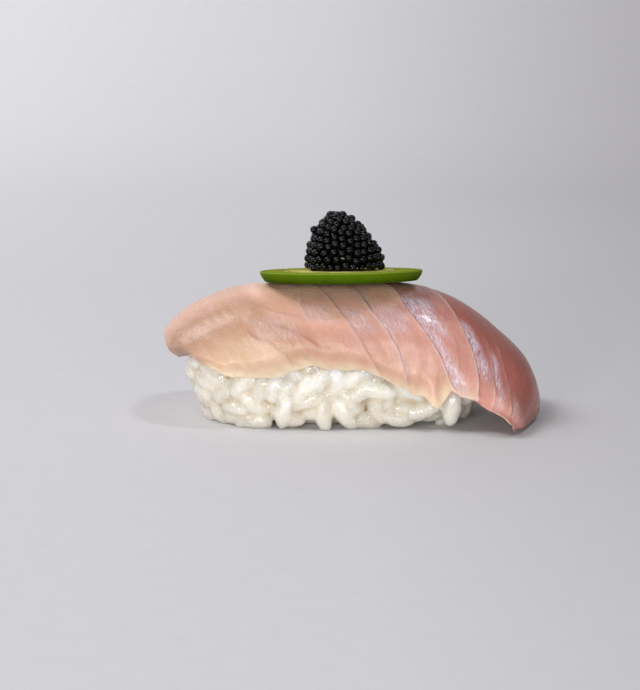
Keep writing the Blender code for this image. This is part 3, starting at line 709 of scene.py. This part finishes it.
def press_rice():
    draw = random.Random(RICE_SEED + 1)
    mesh = bmesh.new()
    turn_layer = mesh.verts.layers.float.new("turn")
    bmesh.ops.create_circle(mesh, cap_ends=True, segments=72, radius=1.0)
    for vert in mesh.verts:
        vert[turn_layer] = math.atan2(vert.co.y, vert.co.x)
        vert.co = rice_form(vert[turn_layer], RICE_CORE[0][0], RICE_CORE[0][1])
    cap = mesh.faces[:]
    for z, inset in RICE_CORE[1:]:
        grown = bmesh.ops.extrude_face_region(mesh, geom=cap)["geom"]
        for vert in grown:
            if isinstance(vert, bmesh.types.BMVert):
                turn = vert[turn_layer]
                gap = noise.noise(Vector((3.0 * math.cos(turn), 3.0 * math.sin(turn), z * 0.3)))
                vert.co = rice_form(turn, z, inset + 2.2 * max(gap - 0.08, 0.0))
        cap = [face for face in grown if isinstance(face, bmesh.types.BMFace)]
    grains = place_grains()
    for place, direction, normal, size, _ in grains:
        across = normal.cross(direction).normalized()
        turn = Matrix((direction, across, normal)).transposed().to_4x4()
        made = bmesh.ops.create_icosphere(mesh, subdivisions=3, radius=1.0)["verts"]
        bend = draw.uniform(0.2, 0.55)
        taper = draw.uniform(-0.16, 0.16)
        flat = draw.uniform(0.85, 1.08)
        for vert in made:
            x, y, z = vert.co
            width = 1.0 + taper * x
            vert.co = (RICE_HALF[0] * size * x, RICE_HALF[1] * flat * width * y - bend * x * x,
                       RICE_HALF[2] * width * z)
            vert.co += 0.12 * noise.noise_vector(vert.co * 0.8 + place)
        bmesh.ops.transform(mesh, matrix=Matrix.Translation(place) @ turn, verts=made)
    return finished_mesh(mesh, "rice", Matrix.Identity(4)), grains


def apply_modifiers(thing):
    bpy.context.view_layer.update()
    graph = bpy.context.evaluated_depsgraph_get()
    data = bpy.data.meshes.new_from_object(thing.evaluated_get(graph))
    thing.modifiers.clear()
    thing.data = data


def slice_space():
    """The room that the slice takes up, carried on well above it."""
    start = [0.0, 0.5, 1.3, 2.4]
    along, across = slice_grid(1.0, start, [0.0, 0.6], [0.0, 0.9], 30, -0.22)
    columns, rows = along.shape
    mesh = bmesh.new()
    bmesh.ops.create_grid(mesh, x_segments=columns - 1, y_segments=rows - 1, size=1.0)
    grown = bmesh.ops.extrude_face_region(mesh, geom=mesh.faces[:], use_keep_orig=True)
    above = {item for item in grown["geom"] if isinstance(item, bmesh.types.BMVert)}
    cells = {vert: grid_cell(vert, columns, rows) for vert in mesh.verts}
    for vert, cell in cells.items():
        a = along[cell]
        b = across[cell]
        start_fall = 0.6 * rounding(a - slice_start(b), START_ROUND)
        depth = -4.0 if vert in above else slice_thickness(a, b) - start_fall - 0.12
        vert.co = slice_point(a, b, depth)
    return finished_mesh(mesh, "slice_space", Matrix.Identity(4))


def keep_largest(thing):
    """Drops the loose scraps that cutting leaves."""
    mesh = bmesh.new()
    mesh.from_mesh(thing.data)
    islands = []
    seen = set()
    for start in mesh.faces:
        if start in seen:
            continue
        island = []
        queue = [start]
        seen.add(start)
        while queue:
            face = queue.pop()
            island.append(face)
            for edge in face.edges:
                for other in edge.link_faces:
                    if other not in seen:
                        seen.add(other)
                        queue.append(other)
        islands.append(island)
    islands.sort(key=len)
    bmesh.ops.delete(mesh, geom=[face for island in islands[:-1] for face in island], context="FACES")
    for face in mesh.faces:
        face.smooth = True
    mesh.to_mesh(thing.data)
    mesh.free()


def hollow_depth(data, rounds):
    """How far each point lies below the surface evened out around it."""
    count = len(data.vertices)
    points = np.zeros(count * 3)
    data.vertices.foreach_get("co", points)
    points = points.reshape(-1, 3)
    normals = np.zeros(count * 3)
    data.vertices.foreach_get("normal", normals)
    edges = np.zeros(len(data.edges) * 2, dtype=np.int64)
    data.edges.foreach_get("vertices", edges)
    first, second = edges.reshape(-1, 2).T
    ends = np.concatenate([first, second])
    others = np.concatenate([second, first])
    share = np.maximum(np.bincount(ends, minlength=count), 1)
    even = points.copy()
    for _ in range(rounds):
        even = np.stack([np.bincount(ends, even[others, k], count) / share for k in range(3)], axis=1)
    return ((even - points) * normals.reshape(-1, 3)).sum(axis=1)


def fuse_rice():
    rice, grains = press_rice()
    join = rice.modifiers.new("join", "REMESH")
    join.mode = "VOXEL"
    join.voxel_size = RICE_VOXEL
    melt = rice.modifiers.new("melt", "SMOOTH")
    melt.factor = 0.5
    melt.iterations = 6
    apply_modifiers(rice)
    ways = [vert.normal.copy() for vert in rice.data.vertices]
    for vert, way in zip(rice.data.vertices, ways):
        vert.co += way * (0.08 * noise.noise(vert.co / 1.6) + 0.025 * noise.noise(vert.co / 0.5))
    space = slice_space()
    mesh = bmesh.new()
    below_floor = Matrix.Translation((0, 0, -5.0)) @ Matrix.Diagonal((90, 60, 10, 1))
    bmesh.ops.create_cube(mesh, size=1.0, matrix=below_floor)
    ground = finished_mesh(mesh, "ground_space", Matrix.Identity(4))
    for tool in (space, ground):
        cut = rice.modifiers.new("cut", "BOOLEAN")
        cut.operation = "DIFFERENCE"
        cut.solver = "MANIFOLD"
        cut.object = tool
    apply_modifiers(rice)
    faces = sum(len(face.vertices) - 2 for face in rice.data.polygons)
    if faces > RICE_MOST:
        thin = rice.modifiers.new("thin", "DECIMATE")
        thin.ratio = RICE_MOST / faces
        apply_modifiers(rice)
    bpy.data.objects.remove(space)
    bpy.data.objects.remove(ground)
    keep_largest(rice)
    tree = kdtree.KDTree(3 * len(grains))
    for k, (_, _, _, _, ends) in enumerate(grains):
        for j, end in enumerate(ends):
            tree.insert(end, 3 * k + j)
    tree.balance()
    draw = random.Random(RICE_SEED + 2)
    tones = [draw.random() for _ in grains]
    hollow = hollow_depth(rice.data, 40)
    marks = []
    for vert, deep in zip(rice.data.vertices, hollow):
        near = tree.find(vert.co)[1] // 3
        marks.append((tones[near], deep, vert.co.z))
    # The marks carry each grain's tone, the hollow depth that paints shade into the hollows, and the height
    # that paints the rice darker towards the bottom.
    layer = rice.data.attributes.new("marks", "FLOAT_VECTOR", "POINT")
    layer.data.foreach_set("vector", np.asarray(marks, dtype=np.float32).ravel())
    rice.data.transform(IN_FRAME)
    return rice


def make_rice_material():
    material, tree, shader = new_material(
        "cooked_rice", Subsurface_Weight=0.8, Subsurface_Radius=(1.0, 0.88, 0.68), Subsurface_Scale=0.0055,
        IOR=1.45, Coat_Weight=1.0, Coat_Roughness=0.05)
    place = object_place(tree)
    tone, hollow, rise = read_marks(tree, "marks")
    colour = ramp(tree, tone, [(0.0, (224, 218, 205)), (0.35, (234, 227, 212)), (0.7, (236, 230, 215)),
                               (1.0, (248, 245, 238))])
    # Painted shade and light: the hollows between grains are painted darker and ochre, the bulges lighter,
    # and the rice darker towards the bottom.
    colour = tinged(tree, colour, [
        (clouds(tree, place, 420.0, 3.0), 0.45, 0.7, 0.4, (225, 214, 194)),
        (hollow, 0.03, 0.4, 0.45, (217, 195, 158)), (hollow, 0.34, 0.7, 0.7, (194, 157, 102)),
        (hollow, -0.1, -0.45, 0.4, (248, 244, 236)), (rise, 6.0, 0.5, 0.62, (216, 204, 183))])
    tree.links.new(colour, shader.inputs["Base Color"])
    height, thick = wet(tree, place, 700.0)
    tree.links.new(ranged(tree, thick, 0.0, 1.0, 0.36, 0.13), shader.inputs["Roughness"])
    beads = sums(tree, "MULTIPLY", clouds(tree, place, 2400.0), ranged(tree, thick, 0.3, 1.0, 0.15, 1.3))
    height = sums(tree, "ADD", sums(tree, "MULTIPLY", height, 0.9), beads)
    finish_bump(tree, shader, height, 1.0, 0.0004)
    return material


rice = fuse_rice()
rice.data.materials.clear()
rice.data.materials.append(make_rice_material())
rice.data.polygons.foreach_set("material_index", [0] * len(rice.data.polygons))
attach(rice, "root")
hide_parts("rice_block")

# ---------------------------------------------------------------------------------------------
# Slice of green chili. A round cut through the pod: glossy skin outside, a band of wet flesh,
# shallow seed chambers between ribs, and pith in the middle, with a few flat seeds lying on it.
# It lies on the fish, tipped back a little.
# ---------------------------------------------------------------------------------------------
CHILI_TOP_RADIUS = 14.9
CHILI_BOTTOM_RADIUS = 14.15
CHILI_THICKNESS = 1.9
CHILI_FLESH = 10.6
CHILI_PITH = 8.9
CHILI_LIE = (Matrix.Translation((-2.0, 0.0, 24.85)) @ Matrix.Rotation(math.radians(-5.9), 4, "X")
             @ Matrix.Rotation(math.radians(-0.6), 4, "Y"))
CHAMBER_SINK = 0.75
# Seeds: where each lies on the cut face, and which way it points in degrees.
CHILI_SEEDS = [(-9.8, 4.6, 20.0), (8.9, -4.4, 75.0), (9.6, 3.7, -30.0), (-10.2, -2.6, 110.0)]
SEED_HALF = (1.35, 1.05, 0.56)
SEED_SINK = 0.5


def chili_rim(angle):
    """Slight lobes of the pod's outline, and the ridge that runs down its front."""
    ridge = 0.011 * math.exp(-((angle + 1.87) / 0.13) ** 2)
    return 1.0 + 0.010 * math.cos(3.0 * angle + 0.6) + 0.006 * math.cos(5.0 * angle) + ridge


def chamber_depth(radius, angle):
    """How much of a seed chamber there is at a place on the cut face, from 0 to 1."""
    chamber = smooth((CHILI_FLESH - radius) / 1.0) * smooth((radius - CHILI_PITH + 1.6) / 0.9)
    rib = abs(math.cos(2.0 * (angle - 0.35)))
    return chamber * smooth((rib - 0.25) / 0.3)


def cut_chili():
    mesh = bmesh.new()
    marks_layer = mesh.verts.layers.float_vector.new("marks")
    bottom = CHILI_BOTTOM_RADIUS
    top = CHILI_TOP_RADIUS
    thick = CHILI_THICKNESS
    profile = [(0.0, 0.0), (bottom - 4.0, 0.0), (bottom - 0.5, 0.0), (bottom - 0.2, 0.05),
               (bottom - 0.02, 0.22)]
    profile += [(bottom + (top - bottom) * t + 0.12 * math.sin(math.pi * t), 0.25 + (thick - 0.45) * t)
                for t in (0.12, 0.3, 0.5, 0.7, 0.88)]
    profile += [(top, thick - 0.2), (top - 0.04, thick - 0.09), (top - 0.12, thick - 0.02),
                (top - 0.24, thick)]
    skin = len(profile) - 2
    profile += [(top - 0.24 - 0.24 * k, thick) for k in range(1, 32)]
    profile += [(6.5, thick), (4.0, thick), (0.0, thick)]
    chain = [mesh.verts.new((r, 0.0, z)) for r, z in profile]
    edges = [mesh.edges.new(pair) for pair in zip(chain, chain[1:])]
    for k, vert in enumerate(chain):
        vert[marks_layer] = (vert.co.x, 1.0, 0.0) if k > skin else (vert.co.x, 0.0, vert.co.z / thick)
    bmesh.ops.spin(mesh, geom=chain + edges, cent=(0, 0, 0), axis=(0, 0, 1), angle=2.0 * math.pi,
                   steps=180, use_merge=True)
    bmesh.ops.remove_doubles(mesh, verts=mesh.verts[:], dist=0.002)
    for vert in mesh.verts:
        radius = math.hypot(vert.co.x, vert.co.y)
        angle = math.atan2(vert.co.y, vert.co.x)
        if vert[marks_layer].y > 0.5:
            depth = chamber_depth(radius, angle)
            vert[marks_layer] = (radius, 1.0, depth)
            vert.co.z -= CHAMBER_SINK * depth
            vert.co.z += 0.05 * noise.noise(Vector((vert.co.x, vert.co.y, 2.0)) * 1.1)
        vert.co.x *= chili_rim(angle)
        vert.co.y *= chili_rim(angle)
    return finished_mesh(mesh, "green_chili", IN_FRAME @ CHILI_LIE)


def make_chili_material():
    material, tree, shader = new_material(
        "green_chili", Subsurface_Weight=0.12, Subsurface_Radius=(0.5, 1.0, 0.2), Subsurface_Scale=0.0012,
        IOR=1.4, Specular_IOR_Level=0.0, Coat_Roughness=0.12)
    place = object_place(tree)
    # On the skin the third value is the height up the rim, and on the cut face the chamber.
    radius, cut, chamber = read_marks(tree, "marks")
    mottle = clouds(tree, place, 220.0, 4.0)
    skin = ramp(tree, mottle, [(0.3, (44, 70, 0)), (0.55, (54, 82, 0)), (0.8, (66, 95, 0))])
    # Painted light: the skin is lighter up towards the rim's top edge, with a painted highlight along its
    # top.
    skin = tinged(tree, skin, [(radius, CHILI_BOTTOM_RADIUS, CHILI_TOP_RADIUS, 0.35, (120, 146, 20)),
                               (chamber, 0.88, 1.0, 0.6, (160, 182, 84))])
    face = ramp(tree, ranged(tree, radius, 7.0, 15.0, 0.0, 1.0),
                [(0.0, (200, 190, 112)), (0.22, (186, 180, 92)), (0.44, (136, 140, 46)),
                 (0.80, (126, 138, 34)), (0.94, (104, 128, 14)), (1.0, (80, 110, 4))])
    fleck = clouds(tree, place, 1500.0)
    face = tinged(tree, face, [(chamber, 0.0, 1.0, 0.5, (150, 158, 70)),
                               (fleck, 0.5, 0.75, 0.3, (206, 208, 140))])
    tree.links.new(mixed(tree, cut, skin, face), shader.inputs["Base Color"])
    height, thick = wet(tree, place, 700.0)
    rough = ranged(tree, thick, 0.0, 1.0, 0.32, 0.22)
    rough = sums(tree, "ADD", rough, ranged(tree, cut, 0.0, 1.0, 0.0, 0.3))
    tree.links.new(rough, shader.inputs["Roughness"])
    tree.links.new(ranged(tree, cut, 0.0, 1.0, 0.07, 0.0), shader.inputs["Coat Weight"])
    height = sums(tree, "ADD", sums(tree, "MULTIPLY", height, ranged(tree, cut, 0.0, 1.0, 0.12, 0.8)),
                  sums(tree, "MULTIPLY", fleck, ranged(tree, cut, 0.0, 1.0, 0.02, 0.5)))
    finish_bump(tree, shader, height, 0.5, 0.0002)
    return material


def strew_seeds():
    """Flat, drop-shaped seeds half sunk in the chambers."""
    draw = random.Random(4)
    mesh = bmesh.new()
    for x, y, turn in CHILI_SEEDS:
        made = bmesh.ops.create_icosphere(mesh, subdivisions=3, radius=1.0)["verts"]
        for vert in made:
            px, py, pz = vert.co
            point = 1.0 - 0.35 * smooth(px)
            dimple = 1.0 - 0.25 * smooth(1.0 - math.hypot(px, py) / 0.6)
            vert.co = (SEED_HALF[0] * px, SEED_HALF[1] * py * point, SEED_HALF[2] * pz * dimple)
            vert.co += 0.05 * noise.noise_vector(vert.co * 1.4 + Vector((x, y, 0.0)))
        lie = Matrix.Translation((x, y, CHILI_THICKNESS - SEED_SINK))
        lie = lie @ Matrix.Rotation(math.radians(turn), 4, "Z")
        lie = lie @ Matrix.Rotation(draw.uniform(-0.12, 0.12), 4, "X")
        bmesh.ops.transform(mesh, matrix=lie, verts=made)
    return finished_mesh(mesh, "chili_seeds", IN_FRAME @ CHILI_LIE)


def make_seed_material():
    material, tree, shader = new_material(
        "chili_seed", Subsurface_Weight=0.2, Subsurface_Radius=(1.0, 0.8, 0.4), Subsurface_Scale=0.0006,
        Coat_Weight=0.3, Coat_Roughness=0.15)
    place = object_place(tree)
    grain = clouds(tree, place, 1500.0, 3.0)
    colour = ramp(tree, grain, [(0.3, (170, 160, 84)), (0.6, (200, 188, 118)), (0.8, (216, 206, 146))])
    tree.links.new(colour, shader.inputs["Base Color"])
    height, thick = wet(tree, place, 1400.0)
    tree.links.new(ranged(tree, thick, 0.0, 1.0, 0.45, 0.3), shader.inputs["Roughness"])
    finish_bump(tree, shader, height, 0.4, 0.0001)
    return material


green_chili = cut_chili()
green_chili.data.materials.append(make_chili_material())
chili_seeds = strew_seeds()
chili_seeds.data.materials.append(make_seed_material())
for piece in (green_chili, chili_seeds):
    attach(piece, "root")
    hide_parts("chili_slice")

# ---------------------------------------------------------------------------------------------
# Roe. A spoonful of black fish eggs, firm and glossy beads about 1.5 mm across, heaped on the
# chili. They lie against one another over a heap of the same eggs.
# ---------------------------------------------------------------------------------------------
ROE_FORM = [(0.0, 6.9), (2.0, 6.8), (4.0, 6.2), (6.0, 5.1), (8.0, 3.7), (9.5, 2.2), (10.2, 0.5)]
ROE_EGG = 0.74
ROE_PITCH = 1.42
ROE_INSET = 0.38
ROE_LOWEST = 0.3
ROE_HIGHEST = 9.8
ROE_SEED = 5
# Eggs that lie on the others and stand out of the heap.
ROE_PROUD = [(-1.7, -0.4, 9.85), (0.6, -0.3, 9.8), (2.2, 0.1, 9.1), (3.9, 0.2, 7.5), (5.2, 0.3, 5.9),
             (7.3, 0.2, 0.9), (-4.7, -0.4, 7.2), (-3.3, 3.6, 7.4), (2.6, 5.4, 4.6)]


def roe_form(angle, height, inset):
    """Point on the heap's outer form above the chili."""
    radius = max(float(np.interp(height, [h for h, _ in ROE_FORM], [r for _, r in ROE_FORM])) - inset, 0.05)
    radius *= 1.0 + 0.05 * math.cos(2.0 * angle + 0.8) + 0.03 * math.cos(3.0 * angle)
    return Vector((0.9 - 0.12 * height + radius * math.cos(angle), radius * math.sin(angle), height))


def settle_eggs():
    """Strews the eggs over the heap and lets them push one another apart until they lie close."""
    draw = random.Random(ROE_SEED)
    heights = np.linspace(ROE_LOWEST, ROE_HIGHEST, 40)
    widths = np.interp(heights, [h for h, _ in ROE_FORM], [r for _, r in ROE_FORM]) - ROE_INSET
    share = np.cumsum(widths * np.hypot(1.0, np.gradient(widths, heights)))
    area = 2.0 * math.pi * share[-1] * (heights[1] - heights[0])
    points = []
    for _ in range(int(area / (0.866 * ROE_PITCH ** 2))):
        height = float(np.interp(draw.random() * share[-1], share, heights))
        points.append(roe_form(draw.uniform(-math.pi, math.pi), height, ROE_INSET))
    for _ in range(60):
        tree = kdtree.KDTree(len(points))
        for k, point in enumerate(points):
            tree.insert(point, k)
        tree.balance()
        moved = []
        for k, point in enumerate(points):
            push = Vector((0.0, 0.0, 0.0))
            for other, j, gap in tree.find_range(point, ROE_PITCH * 1.12):
                if j != k and gap > 0.001:
                    push += (point - other).normalized() * (ROE_PITCH * 1.12 - gap) * 0.35
            height = min(max(point.z + push.z, ROE_LOWEST + 0.5 * (k % 7) / 7.0), ROE_HIGHEST)
            angle = math.atan2(point.y + push.y, point.x + push.x - 0.9 + 0.12 * height)
            moved.append(roe_form(angle, height, ROE_INSET + 0.3 * ((k % 5) / 4.0 - 0.5)))
        points = moved
    points = [point + Vector([draw.uniform(-0.08, 0.08) for _ in range(3)]) for point in points]
    proud = [Vector(place) for place in ROE_PROUD]
    return [point for point in points if all((point - place).length > 1.0 for place in proud)] + proud


def heap_roe():
    draw = random.Random(ROE_SEED + 1)
    mesh = bmesh.new()
    marks_layer = mesh.verts.layers.float_vector.new("marks")
    for point in settle_eggs():
        size = ROE_EGG * draw.uniform(0.95, 1.05)
        tumble = Matrix.Rotation(draw.uniform(0.0, 6.28), 4, "X")
        tumble = tumble @ Matrix.Rotation(draw.uniform(0.0, 6.28), 4, "Z")
        stretch = Matrix.Diagonal((1.0, draw.uniform(0.95, 1.02), draw.uniform(0.95, 1.03), 1.0))
        made = bmesh.ops.create_icosphere(mesh, subdivisions=2, radius=size,
                                          matrix=Matrix.Translation(point) @ tumble @ stretch)["verts"]
        tone = draw.random()
        for vert in made:
            vert[marks_layer] = (tone, (vert.co - point).length, 0.0)
    core = bmesh.ops.create_icosphere(mesh, subdivisions=4, radius=1.0)["verts"]
    for vert in core:
        height = 4.7 + 4.6 * vert.co.z
        angle = math.atan2(vert.co.y, vert.co.x)
        flat = math.sqrt(max(1.0 - abs(vert.co.z) ** 8, 0.0))
        vert.co = roe_form(angle, height, 0.95).lerp(roe_form(angle, height, 9.0), 1.0 - flat)
        vert[marks_layer] = (0.2, 0.0, 1.0)
    on_chili = CHILI_LIE @ Matrix.Translation((0, 0, CHILI_THICKNESS + 0.3))
    return finished_mesh(mesh, "black_roe", IN_FRAME @ on_chili)


def make_roe_material():
    material, tree, shader = new_material("black_roe", IOR=1.4, Specular_IOR_Level=0.36)
    place = object_place(tree)
    tone = read_marks(tree, "marks")[0]
    colour = ramp(tree, tone, [(0.0, (2, 2, 3)), (0.7, (4, 4, 6)), (1.0, (8, 8, 11))])
    colour = tinged(tree, colour, [(clouds(tree, place, 1800.0), 0.5, 0.8, 0.5, (10, 10, 14))])
    tree.links.new(colour, shader.inputs["Base Color"])
    height, thick = wet(tree, place, 1300.0)
    tree.links.new(ranged(tree, thick, 0.0, 1.0, 0.1, 0.05), shader.inputs["Roughness"])
    finish_bump(tree, shader, height, 0.15, 0.00006)
    return material


black_roe = heap_roe()
black_roe.data.materials.append(make_roe_material())
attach(black_roe, "root")
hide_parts("roe_mound")

# ---------------------------------------------------------------------------------------------
# Floor and backdrop. One pale sheet of paper, flat under the food and swept up behind it.
# ---------------------------------------------------------------------------------------------
# In metres: how far it reaches to the front and to each side, where it turns up, with what radius,
# and how high it goes.
PAPER_REACH = 4.0
PAPER_TURN = 0.45
PAPER_RADIUS = 0.5
PAPER_TOP = 1.9


def sweep_paper():
    mesh = bmesh.new()
    line = [(-PAPER_REACH, 0.0), (PAPER_TURN, 0.0)]
    for k in range(1, 19):
        angle = math.pi / 36 * k
        line.append((PAPER_TURN + PAPER_RADIUS * math.sin(angle), PAPER_RADIUS * (1.0 - math.cos(angle))))
    line.append((PAPER_TURN + PAPER_RADIUS, PAPER_TOP))
    chain = [mesh.verts.new((-PAPER_REACH, y, z)) for y, z in line]
    edges = [mesh.edges.new(pair) for pair in zip(chain, chain[1:])]
    grown = bmesh.ops.extrude_edge_only(mesh, edges=edges)["geom"]
    far = [item for item in grown if isinstance(item, bmesh.types.BMVert)]
    bmesh.ops.translate(mesh, verts=far, vec=(2.0 * PAPER_REACH, 0.0, 0.0))
    return finished_mesh(mesh, "paper_sweep", Matrix.Identity(4))


def make_paper_material():
    material, tree, shader = new_material("pale_paper", Roughness=0.75)
    place = object_place(tree)
    parted = add(tree, "SeparateXYZ", {0: place})
    away = sums(tree, "MAXIMUM", sums(tree, "ADD", parted.outputs["Y"], 0.28), 0.3)
    across = sums(tree, "DIVIDE", parted.outputs["X"], away)
    # Painted shade: the paper is darker towards the right.
    colour = ramp(tree, ranged(tree, across, -0.2, 0.2, 0.0, 1.0),
                  [(0.0, (222, 221, 224)), (0.5, (219, 218, 221)), (1.0, (200, 198, 199))])
    fibre = clouds(tree, place, 300.0, 4.0)
    colour = tinged(tree, colour, [(fibre, 0.4, 0.7, 0.06, (180, 178, 176)),
                                   # Painted shade: darker on the floor than up the sweep behind.
                                   (parted.outputs["Y"], 0.6, 0.15, 0.14, (120, 120, 120))])
    tree.links.new(colour, shader.inputs["Base Color"])
    finish_bump(tree, shader, fibre, 0.1, 0.0002)
    return material


paper = sweep_paper()
paper.data.materials.append(make_paper_material())

# ---------------------------------------------------------------------------------------------
# Light and camera. A soft key low at the front left, a small lamp beside the camera, a low wide
# fill, a small softbox above, and a wash of light on the paper behind. The room is dim.
# ---------------------------------------------------------------------------------------------
WARM = (1.0, 0.985, 0.96)
CLEAR = (1.0, 0.99, 0.98)
ROSY = (1.0, 0.98, 0.97)
COOL = (0.94, 0.96, 1.0)
PALE = (0.98, 0.98, 1.0)
ROOM = (0.97, 0.97, 1.0, 1.0)
ROOM_STRENGTH = 0.23


def soft_light(name, place, target, width, height, power, colour):
    data = bpy.data.lights.new(name, "AREA")
    data.shape = "RECTANGLE"
    data.size = width
    data.size_y = height
    data.energy = power
    data.color = colour
    lamp = bpy.data.objects.new(name, data)
    lamp.location = place
    lamp.rotation_euler = (Vector(target) - Vector(place)).to_track_quat("-Z", "Y").to_euler()
    bpy.context.scene.collection.objects.link(lamp)


soft_light("key_light", (-0.24, -0.58, 0.112), (0.0, 0.0, 0.012), 0.12, 0.12, 1.58, WARM)
soft_light("front_light", (-0.02, -0.5, 0.098), (0.0, 0.0, 0.015), 0.08, 0.08, 0.3, CLEAR)
soft_light("fill_light", (0.22, -0.72, 0.04), (0.0, 0.0, 0.02), 0.5, 0.06, 1.1, ROSY)
soft_light("top_light", (0.16, -0.12, 0.46), (0.0, 0.0, 0.015), 0.07, 0.07, 0.4, COOL)
soft_light("back_light", (-0.75, 0.0, 0.95), (-0.15, 0.95, 0.55), 0.8, 0.5, 12.8, PALE)

world = bpy.data.worlds.new("soft_room")
world.use_nodes = True
world.node_tree.nodes["Background"].inputs["Color"].default_value = ROOM
world.node_tree.nodes["Background"].inputs["Strength"].default_value = ROOM_STRENGTH
bpy.context.scene.world = world

ELEVATION = math.radians(11.0)
DISTANCE = 280.0
AIM = IN_FRAME @ Vector((-5.7, 0.0, 12.8))
LENS = 78.9
camera_data = bpy.data.cameras.new("camera")
camera_data.sensor_width = 36.0
camera_data.lens = LENS
camera_data.clip_start = 0.01
camera_data.clip_end = 20.0
camera = bpy.data.objects.new("camera", camera_data)
camera.location = AIM - DISTANCE * MM * Vector((0.0, math.cos(ELEVATION), -math.sin(ELEVATION)))
camera.rotation_euler = (math.radians(90.0) - ELEVATION, 0.0, 0.0)
bpy.context.scene.collection.objects.link(camera)
bpy.context.scene.camera = camera
bpy.context.scene.view_settings.view_transform = "Standard"
